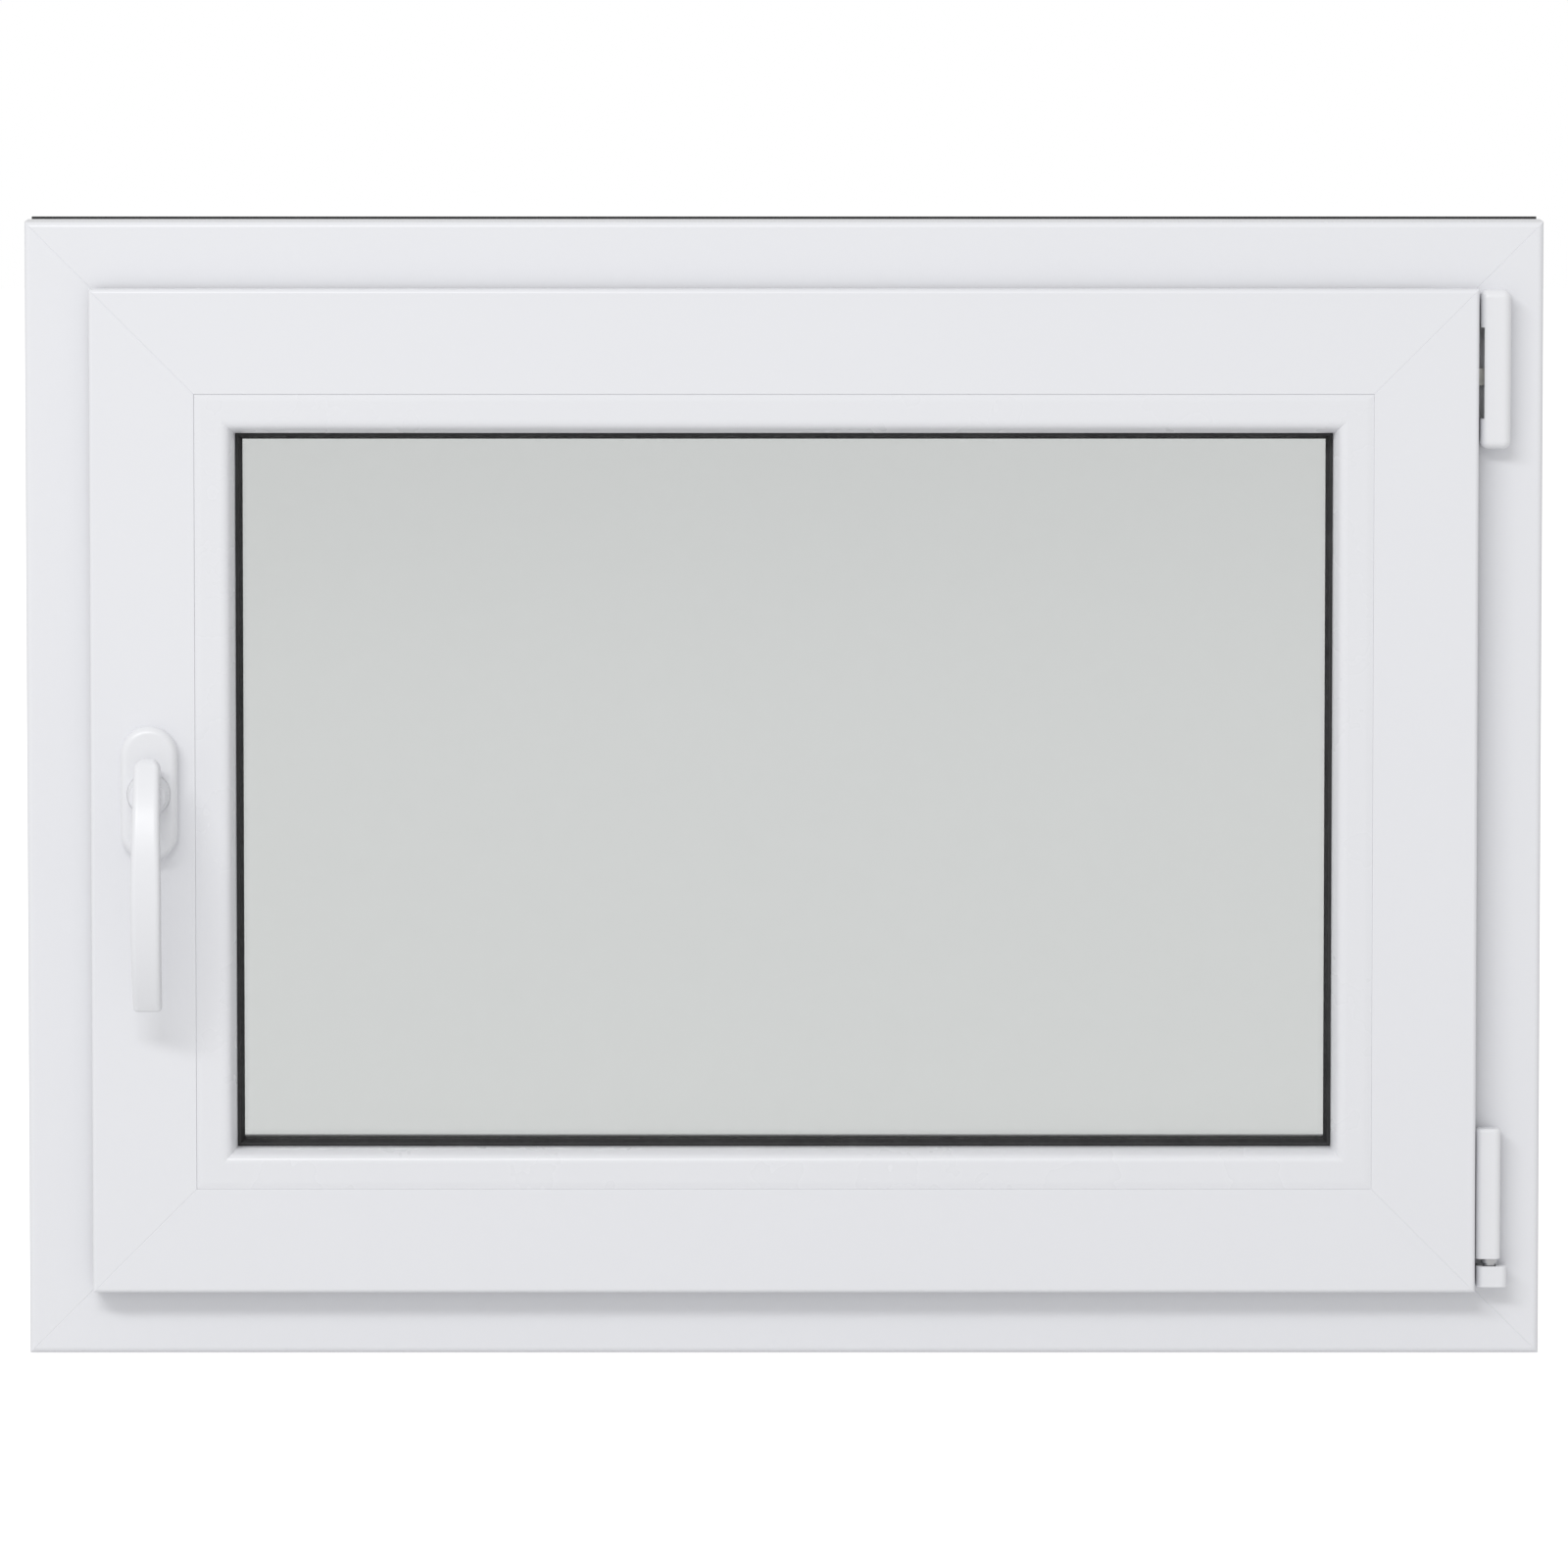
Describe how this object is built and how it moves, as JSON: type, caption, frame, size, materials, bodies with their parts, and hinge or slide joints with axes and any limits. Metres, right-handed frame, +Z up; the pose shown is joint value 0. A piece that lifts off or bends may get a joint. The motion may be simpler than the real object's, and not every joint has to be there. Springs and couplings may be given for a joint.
{
  "type": "casement window",
  "caption": "Tilt-and-turn casement window: white plastic outer frame and inward-opening sash with double glazing, lever handle, side hinges and a hidden perimeter locking gear.",
  "frame": {"origin": "under the middle of the outer frame, at its bottom face and in the plane of the frame's room face", "axes": "+X to the right seen from the room (the hinge side), +Y out through the wall, +Z up"},
  "size_m": [0.8, 0.14, 0.6],
  "materials": {
    "frame_profile": "smooth white PVC-U, satin gloss",
    "sash_profile": "smooth white PVC-U, satin gloss",
    "bead_profile": "smooth white PVC-U, satin gloss",
    "gasket_rubber": "matt black EPDM",
    "glass": "clear float glass",
    "spacer": "black warm-edge bar",
    "sealant": "black sealant",
    "packer_plastic": "moulded packers",
    "drain_cap_plastic": "moulded white plastic",
    "zinc_steel": "bright zinc plated",
    "pin_steel": "ground steel",
    "cast_zinc": "die-cast zinc",
    "screw_steel": "zinc plated",
    "hinge_cap_plastic": "moulded white plastic",
    "handle_lacquer": "white powder coat, satin",
    "handle_plastic": "moulded white plastic",
    "hinge_lacquer": "white powder coat on die-cast zinc"
  },
  "bodies": {
    "frame": {"frame_gasket": "gasket_rubber", "frame_head": "frame_profile", "frame_jamb_handle_side": "frame_profile", "frame_jamb_hinge_side": "frame_profile", "frame_screws": "screw_steel", "frame_sill": "frame_profile", "frame_steel": "zinc_steel", "perimeter_seal": "gasket_rubber", "drain_caps": "drain_cap_plastic", "striker_plates": "zinc_steel", "tilt_strikers": "zinc_steel", "lower_hinge_block": "hinge_lacquer", "tilt_axle": "pin_steel", "upper_hinge_bracket": "zinc_steel", "upper_hinge_pin": "pin_steel", "upper_hinge_cap": "hinge_cap_plastic"},
    "corner_pin": {"corner_pin": "pin_steel"},
    "sash": {"bead_gasket": "gasket_rubber", "corner_drives": "zinc_steel", "faceplate_bottom": "zinc_steel", "faceplate_left": "zinc_steel", "faceplate_right": "zinc_steel", "faceplate_top": "zinc_steel", "gearbox_case": "cast_zinc", "glass_inner": "glass", "glass_outer": "glass", "glass_sealant": "sealant", "glass_spacer": "spacer", "glazing_bead_bottom": "bead_profile", "glazing_bead_left": "bead_profile", "glazing_bead_right": "bead_profile", "glazing_bead_top": "bead_profile", "handle_base_plate": "handle_plastic", "handle_rosette": "handle_plastic", "handle_screws": "screw_steel", "lower_hinge_band": "zinc_steel", "lower_hinge_cover": "hinge_cap_plastic", "outer_glazing_gasket": "gasket_rubber", "sash_bottom_rail": "sash_profile", "sash_gasket": "gasket_rubber", "sash_screws": "screw_steel", "sash_steel": "zinc_steel", "sash_stile_handle_side": "sash_profile", "sash_stile_hinge_side": "sash_profile", "sash_top_rail": "sash_profile", "setting_blocks": "packer_plastic", "stay_anchor_stud": "zinc_steel"},
    "handle": {"handle_lever": "handle_lacquer", "handle_spindle": "pin_steel", "gear_pinion": "cast_zinc"},
    "rod_handle_side": {"drive_rod_left": "zinc_steel"},
    "rod_bottom": {"drive_rod_bottom": "zinc_steel"},
    "rod_hinge_side": {"drive_rod_right": "zinc_steel"},
    "rod_top": {"drive_rod_top": "zinc_steel"},
    "stay_link": {"stay_link": "zinc_steel"},
    "stay_arm": {"stay_arm": "zinc_steel"}
  },
  "joints": [
    {"name": "sash_tilt", "type": "hinge", "parent": "frame", "child": "corner_pin", "pos_m": [0.3734, -0.008, 0.04], "axis": [1, 0, 0], "range_deg": [0, 10]},
    {"name": "sash_turn", "type": "hinge", "parent": "corner_pin", "child": "sash", "pos_m": [0.3734, -0.008, 0.082], "axis": [0, 0, 1], "range_deg": [0, 90]},
    {"name": "handle_turn", "type": "hinge", "parent": "sash", "child": "handle", "pos_m": [-0.33425, -0.022, 0.3], "axis": [0, -1, 0], "range_deg": [0, 180]},
    {"name": "rod_handle_side_slide", "type": "slide", "parent": "sash", "child": "rod_handle_side", "axis": [0, 0, -1], "range_m": [0, 0.026]},
    {"name": "rod_bottom_slide", "type": "slide", "parent": "sash", "child": "rod_bottom", "axis": [1, 0, 0], "range_m": [0, 0.026]},
    {"name": "rod_hinge_side_slide", "type": "slide", "parent": "sash", "child": "rod_hinge_side", "axis": [0, 0, 1], "range_m": [0, 0.026]},
    {"name": "rod_top_slide", "type": "slide", "parent": "sash", "child": "rod_top", "axis": [-1, 0, 0], "range_m": [0, 0.026]},
    {"name": "stay_link_turn", "type": "hinge", "parent": "sash", "child": "stay_link", "pos_m": [0.3284, 0.01, 0.5511], "axis": [0, 0, -1], "range_deg": [0, 21.5]},
    {"name": "stay_arm_turn", "type": "hinge", "parent": "stay_link", "child": "stay_arm", "pos_m": [0.22372, 0.0018, 0.5539], "axis": [0, 0, 1], "range_deg": [0, 39.2]}
  ],
  "couplings": [
    {"joint": "rod_handle_side_slide", "follows": "handle_turn", "m_per_rad": 0.00825},
    {"joint": "rod_bottom_slide", "follows": "handle_turn", "m_per_rad": 0.00825},
    {"joint": "rod_hinge_side_slide", "follows": "handle_turn", "m_per_rad": 0.00825},
    {"joint": "rod_top_slide", "follows": "handle_turn", "m_per_rad": 0.00825},
    {"joint": "stay_link_turn", "follows": "sash_tilt", "ratio": 2.1191},
    {"joint": "stay_arm_turn", "follows": "sash_tilt", "ratio": 3.8859}
  ]
}
